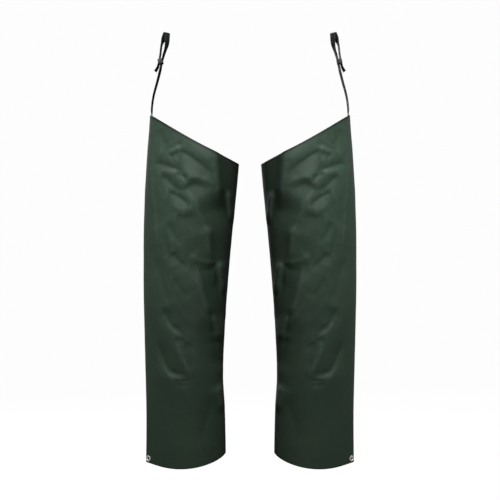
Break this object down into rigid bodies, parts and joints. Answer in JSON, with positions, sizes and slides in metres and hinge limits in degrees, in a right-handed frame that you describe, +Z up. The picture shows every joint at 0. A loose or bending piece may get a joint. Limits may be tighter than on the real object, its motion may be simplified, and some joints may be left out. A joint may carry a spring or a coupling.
{
  "type": "chainsaw chaps",
  "caption": "Pair of separate coated-fabric leg tubes with slanted tops, each hung from a belt by a webbing loop with a sliding keeper and fitted with a metal eyelet at the hem.",
  "frame": {"origin": "midway between the two belt loops, level with the inside of their tops, where the wearer's belt carries them", "axes": "+Z up; -Y is the front of the legs; +X is to the right of someone looking at the front, and nodes named right_ are on that side"},
  "size_m": [0.532, 0.1796, 1.0855],
  "materials": {
    "coated_fabric": "satin",
    "fabric_lining": "matte",
    "webbing": "matte",
    "keeper_plastic": "satin",
    "eyelet_metal": "nickel plated"
  },
  "bodies": {
    "left_strap": {"left_belt_strap": "webbing"},
    "left_slider": {"left_slider": "keeper_plastic"},
    "left_leg": {"left_front_panel": "coated_fabric", "left_back_panel": "coated_fabric", "left_outer_seam_tape": "fabric_lining", "left_inner_seam_tape": "fabric_lining", "left_top_hem_band": "coated_fabric", "left_bottom_hem_band": "coated_fabric", "left_strap_patch": "coated_fabric", "left_strap_sewn_end": "webbing", "left_eyelet": "eyelet_metal", "left_eyelet_washer": "eyelet_metal"},
    "right_strap": {"right_belt_strap": "webbing"},
    "right_slider": {"right_slider": "keeper_plastic"},
    "right_leg": {"right_front_panel": "coated_fabric", "right_back_panel": "coated_fabric", "right_outer_seam_tape": "fabric_lining", "right_inner_seam_tape": "fabric_lining", "right_top_hem_band": "coated_fabric", "right_bottom_hem_band": "coated_fabric", "right_strap_patch": "coated_fabric", "right_strap_sewn_end": "webbing", "right_eyelet": "eyelet_metal", "right_eyelet_washer": "eyelet_metal"}
  },
  "joints": [
    {"name": "left_slider_slide", "type": "slide", "parent": "left_strap", "child": "left_slider", "axis": [0.2079, 0, 0.9781], "range_m": [-0.006, 0.01]},
    {"name": "left_leg_swing", "type": "hinge", "parent": "left_strap", "child": "left_leg", "pos_m": [-0.2478, 0, -0.193], "axis": [-1, 0, 0], "range_deg": [-20, 60]},
    {"name": "strap_spacing", "type": "slide", "parent": "left_strap", "child": "right_strap", "axis": [1, 0, 0], "range_m": [-0.03, 0.1]},
    {"name": "right_slider_slide", "type": "slide", "parent": "right_strap", "child": "right_slider", "axis": [-0.2079, 0, 0.9781], "range_m": [-0.006, 0.01]},
    {"name": "right_leg_swing", "type": "hinge", "parent": "right_strap", "child": "right_leg", "pos_m": [0.2478, 0, -0.193], "axis": [-1, 0, 0], "range_deg": [-20, 60]}
  ]
}
